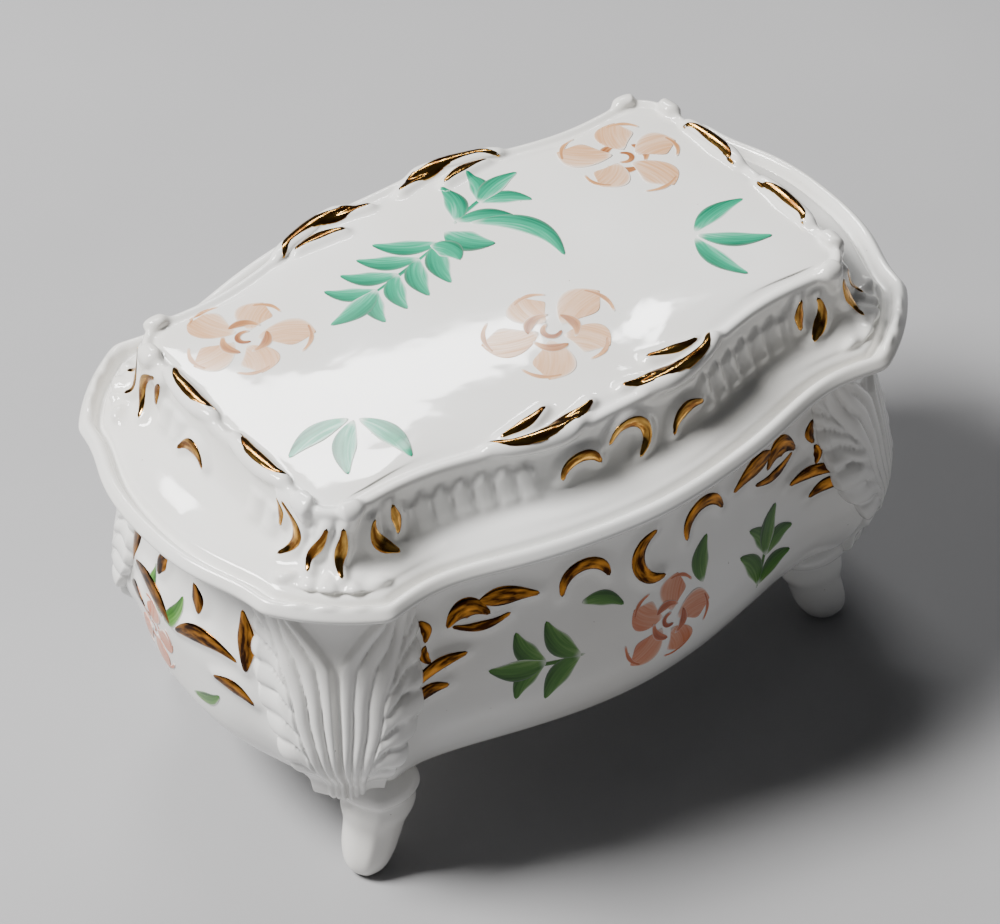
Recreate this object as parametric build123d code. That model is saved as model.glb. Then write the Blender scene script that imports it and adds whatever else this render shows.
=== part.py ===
"""Footed porcelain trinket box with a lift-off lid.

The box stands on four small cabriole feet.  Its outline is a serpentine
rectangle with canted corners, the wall swells outwards below the mouth, and an
acanthus leaf in relief covers each canted corner.  The lid overhangs the mouth
with a rolled rim, rises in a steep wall to a raised panel, and carries a
locating ring that drops inside the mouth.

Origin: centre of the box on the surface it stands on.  +X runs along the long
side, -Y is the front and +Z is up.  All sizes are in millimetres.
"""
from build123d import *
import math
import os

os.makedirs("parts", exist_ok=True)

# ---- driving dimensions -----------------------------------------------------
WALL = 4.0                  # thrown thickness of body and lid
SEAT_Z = 79.5               # underside of the lid, where it rests on the mouth
MOUTH_GAP = 0.1             # glaze gap between the mouth and the resting lid
MOUTH_Z = SEAT_Z - MOUTH_GAP
RIM_Z = 81.5                # height of the widest line of the rolled rim
PANEL_Z = 98.0              # edge of the raised panel
TOP_Z = 101.0               # crown of the panel
BODY_BASE_Z = 22.0          # flat underside of the body, between the feet
CAVITY_FLOOR_Z = 27.5       # floor inside the body
RING_DEPTH = 5.0            # how far the locating ring drops into the mouth
RING_CLEARANCE = 0.9        # from the ring to the inside of the mouth
RING_WALL = 3.0
LEAF_RELIEF = 2.0           # how far a corner leaf stands proud of the body
LEAF_TOP_Z = 78.8
LEAF_BASE_Z = 24.0
LEAF_TOP_WIDTH = 32.0
LEAF_BASE_WIDTH = 20.0

# One quarter of the rim, from the middle of the long side to the middle of the
# short side: x, y and the direction in which the point moves when the outline
# is set in by one millimetre.  The canted corner joins CORNER - 1 to CORNER.
RIM = [
    (0.0, 60.2, 0.0, 1.0),
    (17.0, 58.5, 0.17, 0.98),
    (32.0, 55.1, 0.2, 0.98),
    (50.0, 50.8, 0.03, 1.0),
    (62.0, 52.3, 0.35, 1.04),
    (81.2, 34.5, 0.93, 0.5),
    (82.3, 28.0, 0.97, 0.2),
    (85.6, 18.5, 0.96, 0.27),
    (88.2, 0.0, 1.0, 0.0),
]
# The same points round the edge of the lid's raised panel.
PANEL = [
    (0.0, 44.0, 0.0, 1.0),
    (14.0, 43.6, 0.15, 0.99),
    (25.0, 40.6, 0.4, 0.92),
    (44.0, 36.1, 0.05, 1.0),
    (60.0, 36.6, 0.35, 1.04),
    (66.5, 28.5, 0.95, 0.45),
    (66.8, 22.0, 1.0, 0.03),
    (67.4, 12.0, 1.0, 0.03),
    (67.8, 0.0, 1.0, 0.0),
]
CORNER = 5                  # index of the first point of the short side
CANT_BULGE = 1.6            # how far a canted corner bows outwards
SHORT_SIDE_REACH = 36.0     # |y| at which a short side meets its corners

# Body profile from the mouth down: height, inset from the rim, and the extra
# inset in the middle of the short sides, which swell out a little higher up.
BODY_PROFILE = [
    (MOUTH_Z, 9.0, 0.0),
    (72.0, 9.4, 0.0),
    (64.0, 8.6, -0.3),
    (57.0, 7.2, -0.8),
    (51.0, 6.0, -0.4),
    (45.0, 5.1, 0.8),
    (39.5, 4.4, 1.8),
    (35.0, 5.6, 1.2),
    (31.0, 7.4, 0.3),
    (27.5, 9.4, 0.0),
    (24.5, 11.4, 0.0),
    (BODY_BASE_Z, 14.0, 0.3),
]
CAVITY_END = 9              # the cavity follows the profile above this entry

# Lid wall from the panel edge down: height and how far it stands outside it.
LID_WALL = [(96.5, 0.4), (92.0, 1.2), (88.0, 2.0), (86.0, 3.4), (84.6, 6.0)]
RIM_ROLL = [(83.4, 1.2), (RIM_Z, 0.0), (SEAT_Z, 0.9)]    # height, inset
FLANGE_EDGE = (83.2, 3.6)   # height and inset where the flange meets the rim
# Panel dome: height and the outline's share of the panel edge.
PANEL_DOME = [(PANEL_Z, 1.0), (99.4, 0.93), (100.4, 0.76), (TOP_Z, 0.45)]

# Toe of each foot.  The feet are set by hand, so the front ones differ a little.
FOOT_TIPS = {
    "front_left": (-63.0, -36.2),
    "front_right": (59.6, -33.0),
    "back_left": (-61.4, 34.6),
    "back_right": (61.4, 34.6),
}
# Foot sections from the top down: height, distance of the centre from the toe
# towards the middle of the long side, half width and half depth.
FOOT_SECTIONS = [
    (28.0, 3.6, 11.5, 10.0),
    (22.0, 4.2, 10.2, 9.0),
    (15.0, 3.4, 8.2, 7.4),
    (9.0, 1.8, 6.8, 6.6),
    (3.5, 0.3, 5.4, 5.6),
    (0.0, 0.0, 3.4, 3.6),
]


def move_in(points, inset, short_extra=0.0):
    """Return quarter points set in, by more in the middle of a short side."""
    moved = []
    for x, y, along_x, along_y in points:
        in_short_side = x > points[CORNER - 1][0] and y < SHORT_SIDE_REACH
        share = 1.0 - (y / SHORT_SIDE_REACH) ** 2 if in_short_side else 0.0
        distance = inset + short_extra * share
        moved.append((x - along_x * distance, y - along_y * distance, along_x, along_y))
    return moved


def shrink(points, share):
    """Return quarter points scaled about the middle of the box."""
    return [(x * share, y * share, along_x, along_y) for x, y, along_x, along_y in points]


def outline(points, height):
    """Return the closed serpentine face through a quarter's points, mirrored."""
    long_half = [(x, y) for x, y, _, _ in points[:CORNER]]
    short_half = [(x, y) for x, y, _, _ in points[CORNER:]]
    long_side = [(-x, y) for x, y in reversed(long_half[1:])] + long_half
    short_side = short_half + [(x, -y) for x, y in reversed(short_half[:-1])]
    cant_a = Vector(*long_half[-1])
    cant_b = Vector(*short_half[0])
    across = (cant_b - cant_a).normalized()
    middle = (cant_a + cant_b) * 0.5 + Vector(-across.Y, across.X) * CANT_BULGE
    edges = []
    for mirror_y in (1, -1):
        edges.append(Spline(*[(x, mirror_y * y) for x, y in long_side]))
    for mirror_x in (1, -1):
        edges.append(Spline(*[(mirror_x * x, y) for x, y in short_side]))
        for mirror_y in (1, -1):
            corner = [cant_a, middle, cant_b]
            edges.append(ThreePointArc(*[(mirror_x * p.X, mirror_y * p.Y) for p in corner]))
    return Pos(0, 0, height) * make_face(edges)


def stack(sections):
    """Return the solid that runs straight from each outline to the next."""
    return loft(sections, ruled=True)


def body_form(outset=0.0):
    """Return the body's outer form, or the same form grown outwards."""
    sections = []
    for height, inset, extra in BODY_PROFILE:
        sections.append(outline(move_in(RIM, inset - outset, extra), height))
    return stack(sections)


def cavity_form():
    """Return the hollow inside the body, open at the mouth."""
    top_height, top_inset, top_extra = BODY_PROFILE[0]
    above_mouth = top_height + 1.0
    sections = [outline(move_in(RIM, top_inset + WALL, top_extra), above_mouth)]
    for height, inset, extra in BODY_PROFILE[:CAVITY_END]:
        sections.append(outline(move_in(RIM, inset + WALL, extra), height))
    floor_inset = BODY_PROFILE[CAVITY_END][1] + 2 * WALL
    floor_extra = BODY_PROFILE[CAVITY_END][2]
    sections.append(outline(move_in(RIM, floor_inset, floor_extra), CAVITY_FLOOR_Z))
    return stack(sections)


def lid_form():
    """Return the lid's outer form: rolled rim, flange, wall and domed panel."""
    sections = [outline(move_in(RIM, inset), height) for height, inset in reversed(RIM_ROLL)]
    sections.append(outline(move_in(RIM, FLANGE_EDGE[1]), FLANGE_EDGE[0]))
    rim = stack(sections[:3])
    crown = [sections[3]]
    for height, outset in reversed(LID_WALL):
        crown.append(outline(move_in(PANEL, -outset), height))
    for height, share in PANEL_DOME:
        crown.append(outline(shrink(PANEL, share), height))
    root = outline(move_in(RIM, FLANGE_EDGE[1]), SEAT_Z)
    return rim + stack([root] + crown)


def lid_recess():
    """Return the hollow under the raised panel."""
    below_seat = SEAT_Z - 1.0
    wide = move_in(PANEL, WALL - LID_WALL[3][1] + 1.5)
    narrow = move_in(PANEL, WALL)
    roof = move_in(PANEL, 2 * WALL)
    return stack([
        outline(wide, below_seat),
        outline(wide, LID_WALL[3][0] - WALL),
        outline(narrow, PANEL_Z - WALL),
        outline(roof, PANEL_Z - WALL + 1.5),
    ])


def locating_ring():
    """Return the ring under the lid that drops inside the mouth."""
    outer_inset = BODY_PROFILE[0][1] + WALL + RING_CLEARANCE
    outer = move_in(RIM, outer_inset)
    inner = move_in(RIM, outer_inset + RING_WALL)
    base = SEAT_Z - RING_DEPTH
    ring = stack([outline(outer, base), outline(outer, SEAT_Z)])
    hole = stack([outline(inner, base - 1.0), outline(inner, SEAT_Z + 1.0)])
    return ring - hole


def cant_plane(mirror_x, mirror_y):
    """Return an upright plane through the middle of a canted corner, facing out."""
    cant_a = Vector(RIM[CORNER - 1][0], RIM[CORNER - 1][1])
    cant_b = Vector(RIM[CORNER][0], RIM[CORNER][1])
    middle = (cant_a + cant_b) * 0.5
    across = (cant_b - cant_a).normalized()
    facing = Vector(-across.Y * mirror_x, across.X * mirror_y, 0)
    along = Vector(facing.Y, -facing.X, 0)
    return Plane(origin=(middle.X * mirror_x, middle.Y * mirror_y, 0), x_dir=along, z_dir=facing)


def corner_leaf(relief_skin, mirror_x, mirror_y):
    """Return the leaf panel on one corner, cut from the skin outside the body."""
    reach = 40.0
    half_top = LEAF_TOP_WIDTH / 2
    half_base = LEAF_BASE_WIDTH / 2
    plane = cant_plane(mirror_x, mirror_y)
    panel_up = 1.0 if plane.y_dir.Z > 0 else -1.0
    corners = [
        (-half_base, panel_up * LEAF_BASE_Z),
        (half_base, panel_up * LEAF_BASE_Z),
        (half_top, panel_up * LEAF_TOP_Z),
        (-half_top, panel_up * LEAF_TOP_Z),
    ]
    panel = plane * make_face(Polyline(*corners, close=True))
    return extrude(panel, amount=reach, both=True) & relief_skin


def foot(body, leaf, tip, mirror_x, mirror_y):
    """Return one cabriole foot, its top shaped to the underside of the body."""
    outward = Vector(RIM[CORNER][1] * mirror_x, RIM[CORNER - 1][1] * mirror_y).normalized()
    turn = math.degrees(math.atan2(outward.Y, outward.X))
    sections = []
    for height, set_back, half_width, half_depth in FOOT_SECTIONS:
        section = Ellipse(half_depth, half_width)
        place = Pos(tip[0] - mirror_x * set_back, tip[1], height)
        sections.append(place * Rot(0, 0, turn) * section)
    return loft(sections) - body - leaf


def write(name, solid):
    """Write one piece under its own name."""
    solid.label = name
    export_step(solid, os.path.join("parts", name + ".step"))


full_body = body_form()
relief_skin = body_form(LEAF_RELIEF) - full_body

write("box_body", full_body - cavity_form())
write("lid_shell", lid_form() - lid_recess())
write("lid_locating_ring", locating_ring())

SIDES = {"front": -1, "back": 1}
ENDS = {"left": -1, "right": 1}
for side, mirror_y in SIDES.items():
    for end, mirror_x in ENDS.items():
        leaf = corner_leaf(relief_skin, mirror_x, mirror_y)
        corner = side + "_" + end
        write("corner_leaf_" + corner, leaf)
        write("foot_" + corner, foot(full_body, leaf, FOOT_TIPS[corner], mirror_x, mirror_y))
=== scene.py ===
"""Footed porcelain trinket box: glazed surfaces, moulded relief, gilding and painting.

Everything is measured in millimetres from the middle of the box on the surface
it stands on: +X along the long side, -Y the front, +Z up.  Meshes are scaled to
metres when they are made.
"""

import math

import bpy
import numpy as np
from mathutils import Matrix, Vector
from mathutils.bvhtree import BVHTree


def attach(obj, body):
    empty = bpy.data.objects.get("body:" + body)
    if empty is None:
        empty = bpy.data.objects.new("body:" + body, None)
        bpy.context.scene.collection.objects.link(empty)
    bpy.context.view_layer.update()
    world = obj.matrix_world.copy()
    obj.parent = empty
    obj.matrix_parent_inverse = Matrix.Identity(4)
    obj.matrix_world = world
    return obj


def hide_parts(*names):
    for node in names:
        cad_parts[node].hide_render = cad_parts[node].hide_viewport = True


MM = 0.001

# ---- form of the porcelain --------------------------------------------------
MOUTH_Z = 79.4
SEAT_Z = 79.5
RIM_Z = 81.5
BASE_Z = 22.0
FLOOR_Z = 27.5

# Spokes in each part of a quarter outline.
LONG_SPOKES = 82
CANT_SPOKES = 34
SHORT_SPOKES = 44
QUARTER_SPOKES = LONG_SPOKES + CANT_SPOKES + SHORT_SPOKES
CORNER = 5                  # index of the first point of the short side
SHORT_REACH = 36.0          # |y| at which a short side meets its corners

# A quarter of the rim from the middle of the long side to the middle of the
# short side: x, y, and how the point moves when the outline is set in by 1 mm.
RIM = [
    (0.0, 60.0, 0.0, 1.0),
    (17.0, 58.4, 0.17, 0.98),
    (32.0, 55.1, 0.2, 0.98),
    (50.0, 50.8, 0.03, 1.0),
    (62.0, 52.3, 0.35, 1.04),
    (81.2, 34.5, 0.93, 0.5),
    (82.3, 28.0, 0.97, 0.2),
    (85.6, 18.5, 0.96, 0.27),
    (88.0, 0.0, 1.0, 0.0),
]
# The same points round the edge of the raised panel.
PANEL = [
    (0.0, 44.0, 0.0, 1.0),
    (14.0, 43.6, 0.15, 0.99),
    (25.0, 40.6, 0.4, 0.92),
    (44.0, 36.1, 0.05, 1.0),
    (60.0, 36.6, 0.35, 1.04),
    (66.5, 28.5, 0.95, 0.45),
    (66.8, 22.0, 1.0, 0.03),
    (67.4, 12.0, 1.0, 0.03),
    (67.8, 0.0, 1.0, 0.0),
]
CANT_BULGE = 1.6

# Lid section from the crown to the rim and back under: the line it follows
# ("dome" a share of the panel, "panel" outside the panel edge, "rim" inside
# the rim), the distance, the height, and the mesh spacing up to that station.
LID_SECTION = [
    ("dome", 0.05, 100.6, 2.0),
    ("dome", 0.3, 100.45, 2.5),
    ("dome", 0.55, 99.95, 2.5),
    ("dome", 0.76, 99.2, 1.6),
    ("dome", 0.88, 98.6, 0.8),
    ("panel", -3.6, 98.15, 0.7),
    ("panel", -2.5, 98.0, 0.5),
    ("panel", -1.7, 98.35, 0.4),
    ("panel", -0.9, 98.55, 0.4),
    ("panel", -0.2, 98.2, 0.4),
    ("panel", 0.1, 97.2, 0.4),
    ("panel", 0.0, 95.3, 0.5),
    ("panel", 0.2, 92.5, 0.5),
    ("panel", 0.9, 89.2, 0.5),
    ("panel", 2.2, 86.6, 0.5),
    ("panel", 4.3, 85.1, 0.5),
    ("panel", 7.2, 84.4, 0.6),
    ("rim", 6.4, 83.6, 0.8),
    ("rim", 5.4, 83.1, 0.4),
    ("rim", 4.9, 82.1, 0.3),
    ("rim", 4.4, 81.4, 0.3),
    ("rim", 3.8, 81.5, 0.3),
    ("rim", 3.3, 82.5, 0.3),
    ("rim", 2.6, 83.6, 0.35),
    ("rim", 1.4, 83.8, 0.4),
    ("rim", 0.45, 82.8, 0.4),
    ("rim", 0.0, 81.9, 0.5),
    ("rim", 0.4, 80.9, 0.5),
    ("rim", 1.3, 80.2, 0.6),
    ("rim", 2.8, 79.8, 0.8),
    ("rim", 5.5, SEAT_Z, 1.5),
    ("rim", 12.0, SEAT_Z, 3.0),
    ("panel", -2.1, 79.7, 3.0),
    ("panel", -2.5, 82.2, 1.5),
    ("panel", -3.9, 92.5, 3.0),
    ("panel", -5.2, 94.6, 1.2),
    ("panel", -8.0, 95.5, 1.5),
    ("dome", 0.6, 96.6, 4.0),
    ("dome", 0.05, 97.0, 5.0),
]
# Body section from the middle of the underside, up the outside, over the mouth
# and down to the middle of the floor: the same fields, and the extra inset in
# the middle of the short sides.
BODY_SECTION = [
    ("base", 0.05, BASE_Z + 1.5, 0.0, 5.0),
    ("base", 0.7, BASE_Z + 1.3, 0.0, 5.0),
    ("base", 0.92, BASE_Z + 0.6, 0.0, 2.0),
    ("rim", 17.0, BASE_Z, 0.4, 1.5),
    ("rim", 14.2, 22.6, 0.2, 0.9),
    ("rim", 11.6, 24.5, 0.0, 0.8),
    ("rim", 9.5, 27.5, 0.0, 0.8),
    ("rim", 7.5, 31.0, 0.3, 0.75),
    ("rim", 5.7, 35.0, 1.2, 0.75),
    ("rim", 4.6, 39.5, 1.8, 0.75),
    ("rim", 5.1, 45.0, 0.8, 0.75),
    ("rim", 6.0, 51.0, -0.4, 0.75),
    ("rim", 7.2, 57.0, -0.8, 0.75),
    ("rim", 8.6, 64.0, -0.3, 0.75),
    ("rim", 9.4, 72.0, 0.0, 0.75),
    ("rim", 9.1, 78.3, 0.0, 0.75),
    ("rim", 9.5, 79.2, 0.0, 0.5),
    ("rim", 10.6, MOUTH_Z, 0.0, 0.6),
    ("rim", 11.8, MOUTH_Z, 0.0, 0.6),
    ("rim", 12.8, 79.0, 0.0, 0.6),
    ("rim", 13.1, 77.5, 0.0, 1.0),
    ("rim", 13.4, 72.0, 0.0, 3.0),
    ("rim", 12.6, 64.0, -0.3, 3.0),
    ("rim", 10.0, 51.0, -0.4, 3.5),
    ("rim", 8.8, 39.5, 1.8, 3.5),
    ("rim", 11.6, 32.0, 0.5, 3.0),
    ("rim", 15.0, 28.3, 0.0, 1.5),
    ("rim", 20.0, FLOOR_Z, 0.4, 2.0),
    ("base", 0.6, FLOOR_Z, 0.0, 5.0),
    ("base", 0.05, FLOOR_Z, 0.0, 6.0),
]
BASE_INSET = 18.0
# Locating ring under the lid: inset from the rim, height, mesh spacing.
RING_SECTION = [
    ("rim", 13.9, 79.45, 0.8),
    ("rim", 13.9, 76.0, 1.2),
    ("rim", 14.2, 74.9, 0.6),
    ("rim", 15.0, 74.5, 0.6),
    ("rim", 15.9, 74.5, 0.6),
    ("rim", 16.6, 74.9, 0.6),
    ("rim", 16.9, 76.0, 0.6),
    ("rim", 16.9, 79.45, 1.2),
]


def cubic(values, stops, at):
    """Natural cubic curve through values at the stops, evaluated at each of at."""
    values = np.asarray(values, float)
    stops = np.asarray(stops, float)
    at = np.asarray(at, float)
    count = len(stops)
    flat = values.reshape(count, -1)
    step = np.diff(stops)
    matrix = np.eye(count)
    right = np.zeros_like(flat)
    for i in range(1, count - 1):
        matrix[i, i - 1:i + 2] = (step[i - 1], 2 * (step[i - 1] + step[i]), step[i])
        rise = (flat[i + 1] - flat[i]) / step[i]
        right[i] = 6 * (rise - (flat[i] - flat[i - 1]) / step[i - 1])
    bend = np.linalg.solve(matrix, right)
    i = np.clip(np.searchsorted(stops, at) - 1, 0, count - 2)
    width = step[i][:, None]
    b = (at - stops[i])[:, None] / width
    a = 1 - b
    curve = a * flat[i] + b * flat[i + 1]
    curve += ((a ** 3 - a) * bend[i] + (b ** 3 - b) * bend[i + 1]) * width ** 2 / 6
    return curve.reshape((len(at),) + values.shape[1:])


def chords(points):
    """Distance along a polyline at each of its points."""
    lengths = np.linalg.norm(np.diff(np.asarray(points, float), axis=0), axis=1)
    return np.concatenate([[0.0], np.cumsum(lengths)])


def smooth_step(low, high, value):
    """Ease from 0 at low to 1 at high."""
    share = np.clip((value - low) / (high - low), 0.0, 1.0)
    return share * share * (3 - 2 * share)


def ring_of(quarter):
    """Closed outline through the mirrored quarter: points and inset directions."""
    quarter = np.array(quarter)
    flip_x = np.array([-1, 1, -1, 1])
    flip_y = np.array([1, -1, 1, -1])
    long_half = quarter[:CORNER]
    long_side = np.vstack([long_half[:0:-1] * flip_x, long_half])
    stops = chords(long_side[:, :2])
    stops = stops - stops[len(long_half) - 1]
    long_run = cubic(long_side, stops, np.arange(LONG_SPOKES) / LONG_SPOKES * stops[-1])
    short_half = quarter[CORNER:]
    short_side = np.vstack([short_half, short_half[-2::-1] * flip_y])
    stops = chords(short_side[:, :2])
    middle = stops[len(short_half) - 1]
    short_run = cubic(short_side, stops, np.arange(SHORT_SPOKES + 1) / SHORT_SPOKES * middle)
    share = (np.arange(CANT_SPOKES) / CANT_SPOKES)[:, None]
    cant_run = long_half[-1] * (1 - share) + short_half[0] * share
    across = short_half[0, :2] - long_half[-1, :2]
    outward = np.array([-across[1], across[0]]) / np.linalg.norm(across)
    cant_run[:, :2] += 4 * CANT_BULGE * share * (1 - share) * outward
    run = np.vstack([long_run, cant_run, short_run])
    back = run[-2:0:-1] * flip_y
    half = np.vstack([run, back, run[:1] * flip_y])
    ring = np.vstack([half, half[-2:0:-1] * flip_x])
    soft = np.array([1, 4, 6, 4, 1]) / 16.0
    for _ in range(2):
        ring = sum(w * np.roll(ring, k - 2, axis=0) for k, w in enumerate(soft))
    return ring[:, :2], ring[:, 2:]


RIM_RING, RIM_IN = ring_of(RIM)
PANEL_RING, PANEL_IN = ring_of(PANEL)
SPOKES = len(RIM_RING)
SHORT_SHARE = np.where(
    (np.abs(RIM_RING[:, 0]) > RIM[CORNER - 1][0]) & (np.abs(RIM_RING[:, 1]) < SHORT_REACH),
    1 - (RIM_RING[:, 1] / SHORT_REACH) ** 2,
    0.0,
)


def station(line, amount, height, extra=0.0):
    """One ring of the section: a line of the outline at a distance and height."""
    if line == "dome":
        flat = PANEL_RING * amount
    elif line == "panel":
        flat = PANEL_RING + PANEL_IN * amount
    elif line == "base":
        flat = (RIM_RING - RIM_IN * BASE_INSET) * amount
    else:
        inset = amount + extra * SHORT_SHARE
        flat = RIM_RING - RIM_IN * inset[:, None] if np.ndim(inset) else RIM_RING - RIM_IN * inset
    return np.column_stack([flat, np.full(SPOKES, height)])


def section_grid(section):
    """Rings of points along a section, with its mesh spacing."""
    rings = np.array([station(*entry[:-1]) for entry in section])
    gaps = np.linalg.norm(np.diff(rings, axis=0), axis=2).mean(axis=1)
    stops = np.concatenate([[0.0], np.cumsum(np.sqrt(gaps))])
    at = [0.0]
    for i, gap in enumerate(gaps):
        count = max(1, int(math.ceil(gap / section[i + 1][-1])))
        at.extend(stops[i] + (stops[i + 1] - stops[i]) * (k + 1) / count for k in range(count))
    return cubic(rings, stops, at)


def grid_normals(grid):
    """Unit normals of a grid whose second direction closes on itself."""
    along = np.gradient(grid, axis=0)
    round_about = np.roll(grid, -1, axis=1) - np.roll(grid, 1, axis=1)
    normal = np.cross(round_about, along)
    return normal / np.maximum(np.linalg.norm(normal, axis=2, keepdims=True), 1e-9)


def outward_normals(grid, row, centre_z):
    """Grid normals, turned so that they point away from the inside at one row."""
    normal = grid_normals(grid)
    seen = grid[row] - np.array([0.0, 0.0, centre_z])
    return normal * np.sign((normal[row] * seen).sum())


# ---- brushwork --------------------------------------------------------------
# A stroke is first drawn flat, as points along, up and half width.  A side says
# which way the flat drawing faces: "panel" is x, y seen from above, "front" is
# x, z on the front, and "end" is y, z on the left end.
THIN = 0.3                  # half width where the brush lands and leaves


def bow(start, end, swell, half, heaviest=0.5):
    """A stroke that bows to its left by swell, heaviest part of the way along."""
    start, end = np.array(start, float), np.array(end, float)
    along = end - start
    left = np.array([-along[1], along[0]]) / np.linalg.norm(along)
    points = []
    for share in np.linspace(0, 1, 5):
        place = start + share * along + 4 * swell * share * (1 - share) * left
        load = share / heaviest if share < heaviest else (1 - share) / (1 - heaviest)
        points.append((place[0], place[1], max(THIN, half * math.sin(load * math.pi / 2))))
    return points


def scroll(centre, radius, first, last, half):
    """A stroke round a centre between two angles in degrees, tightening a little."""
    points = []
    for share in np.linspace(0, 1, 7):
        angle = math.radians(first + (last - first) * share)
        reach = radius * (1 - 0.2 * share)
        place = (centre[0] + reach * math.cos(angle), centre[1] + reach * math.sin(angle))
        points.append(place + (max(THIN, half * math.sqrt(math.sin(math.pi * share))),))
    return points


def polar(centre, angle, reach):
    """The point at an angle in degrees and a distance from a centre."""
    angle = math.radians(angle)
    return (centre[0] + reach * math.cos(angle), centre[1] + reach * math.sin(angle))


def put(tree, side, stroke):
    """The flat stroke on the glaze: x, y, z and half width."""
    placed = []
    for along, up, half in stroke:
        if side == "panel":
            start, ahead = (along, up, 150.0), (0, 0, -1)
        elif side == "front":
            start, ahead = (along, -150.0, up), (0, 1, 0)
        else:
            start, ahead = (-150.0, along, up), (1, 0, 0)
        place = tree.ray_cast(Vector(start), Vector(ahead))[0]
        placed.append((place.x, place.y, place.z, half))
    return placed


# Painted strokes carry which long edge is dark (1 left, -1 right, 0 the middle),
# how dark that is, and how dark the rest of the stroke is.
def leaf(base, tip, swell, half):
    """One painted leaf, darker along the edge that it bows towards."""
    return bow(base, tip, swell, half, 0.45), (1 if swell > 0 else -1), 0.95, 0.32


def fan(root, heading, opening, count, length, half):
    """Leaves opening from one root, evenly spaced about a heading."""
    leaves = []
    for i in range(count):
        turn = opening * (i / (count - 1) - 0.5)
        tip = polar(root, heading + turn, length)
        leaves.append(leaf(polar(root, heading + turn, 1.5), tip, 1.4 if turn > 0 else -1.4, half))
    return leaves


def spray(root, heading, length, pairs, reach, half):
    """Pairs of leaves along a stem, shorter towards its tip, with one at the end."""
    stem = (bow(root, polar(root, heading, length), 0.6, 0.5), 0, 0.7, 0.5)
    strokes = [stem]
    for i in range(pairs):
        share = i / pairs
        base = polar(root, heading, length * share + 1.0)
        for side in (1, -1):
            tip = polar(base, heading + side * 52, reach * (1 - 0.3 * share))
            strokes.append(leaf(base, tip, -1.6 * side, half * (1 - 0.2 * share)))
    end = polar(root, heading, length * (pairs - 1) / pairs + 1.0)
    strokes.append(leaf(end, polar(end, heading, reach), 1.2, half))
    return strokes


OUTER_PETALS = 5
INNER_PETALS = 3


def rose(centre, size, turn):
    """A painted rose: five uneven round petals, lined at their tips, and a heart."""
    strokes = []
    for i in range(OUTER_PETALS):
        middle = turn + 360 * i / OUTER_PETALS
        reach = size * (1 + 0.12 * math.sin(2.3 * i + turn))
        petal = bow(polar(centre, middle, 0.2 * size), polar(centre, middle + 8, reach),
                    0.08 * size, 0.32 * size, 0.62)
        strokes.append((petal, 1 if i % 2 else -1, 0.36, 0.13))
        tip = [polar(centre, middle + side * 19, 0.9 * reach) for side in (-1, 1)]
        strokes.append((bow(*tip, -0.11 * size, 0.04 * size), 0, 0.6, 0.45))
    for i in range(INNER_PETALS):
        middle = turn + 30 + 360 * i / INNER_PETALS
        ends = [polar(centre, middle + side * 46, 0.36 * size) for side in (-1, 1)]
        strokes.append((bow(*ends, -0.13 * size, 0.09 * size, 0.62), 0, 0.85, 0.55))
    strokes.append((scroll(centre, 0.17 * size, turn, turn + 250, 0.05 * size), 0, 0.95, 0.8))
    return strokes


def lid_leaves():
    """Green sprays on the lid: the long one in the middle and two small fans."""
    strokes = spray((1, 20), 194, 26, 4, 14, 2.6)
    strokes += spray((6, 23), 18, 16, 2, 13, 2.5)
    strokes.append(leaf((9, 21), (18, 0), 5, 2.8))
    strokes.append(leaf((3, 22), (9, 12), -1.5, 3.4))
    strokes.append(leaf((-2, 20), (0, 12), 1.5, 2.8))
    strokes += fan((-44, -14), 232, 92, 3, 17, 2.5)
    strokes += fan((43, -10), 325, 95, 3, 17, 2.3)
    return strokes


def lid_roses():
    """The three roses on the lid."""
    return rose((-48, 20), 13, 30) + rose((48, 20), 13, 200) + rose((2, -18), 14, 80)


def front_leaves():
    """Leaves to either side of the rose on the front."""
    strokes = spray((-17, 47), 172, 15, 2, 12, 2.6)
    strokes.append(leaf((-16, 59), (-7, 55), 1.5, 1.8))
    strokes.append(leaf((13, 50), (16, 60), 1.5, 2.4))
    return strokes + spray((28, 38), 62, 13, 2, 11, 2.4)


def end_leaves():
    """Leaves over and beside the rose on the left end."""
    return fan((5, 50), 95, 50, 2, 13, 2.0) + [leaf((-3, 36), (-13, 42), 1.2, 1.6)]


def painted(tree, side, strokes):
    """Painted strokes of one side, put on the glaze."""
    return [(put(tree, side, stroke), *shades) for stroke, *shades in strokes]


def lid_gold(tree):
    """Gilding of the lid: the corners and the panel's edge, and the middle scrolls."""
    quarter = [
        put(tree, "end", bow((-23.5, 96), (-26, 85.2), -4, 1.2, 0.6)),
        put(tree, "end", bow((-22, 96), (-23, 90), -0.6, 0.8)),
        put(tree, "front", bow((-64, 95), (-69, 85.2), 0.8, 0.9)),
        put(tree, "front", bow((-61.5, 95), (-65, 85), 0.6, 1.1)),
        put(tree, "front", bow((-55.5, 94), (-52, 85.4), -2, 1.4, 0.65)),
        put(tree, "front", bow((-51, 95), (-50.5, 88.5), 0.5, 1.0)),
        put(tree, "panel", bow((-66, 4), (-65.5, 21), 0.6, 1.3)),
        put(tree, "panel", bow((-28, -38), (-4, -39.5), -3.4, 1.6, 0.6)),
        put(tree, "panel", bow((-24, -37), (-13, -36), -0.8, 1.0)),
    ]
    middle = [
        put(tree, "front", scroll((-10.5, 87.5), 5.2, 170, 20, 1.1)),
        put(tree, "front", scroll((1, 90), 5, 160, -70, 1.1)),
        put(tree, "front", bow((11, 87), (20, 89), 2.6, 1.3)),
        put(tree, "end", bow((12, 86.5), (3, 87.5), -2.6, 1.3)),
    ]
    return four_ways(quarter) + both_ways(middle)


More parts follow.
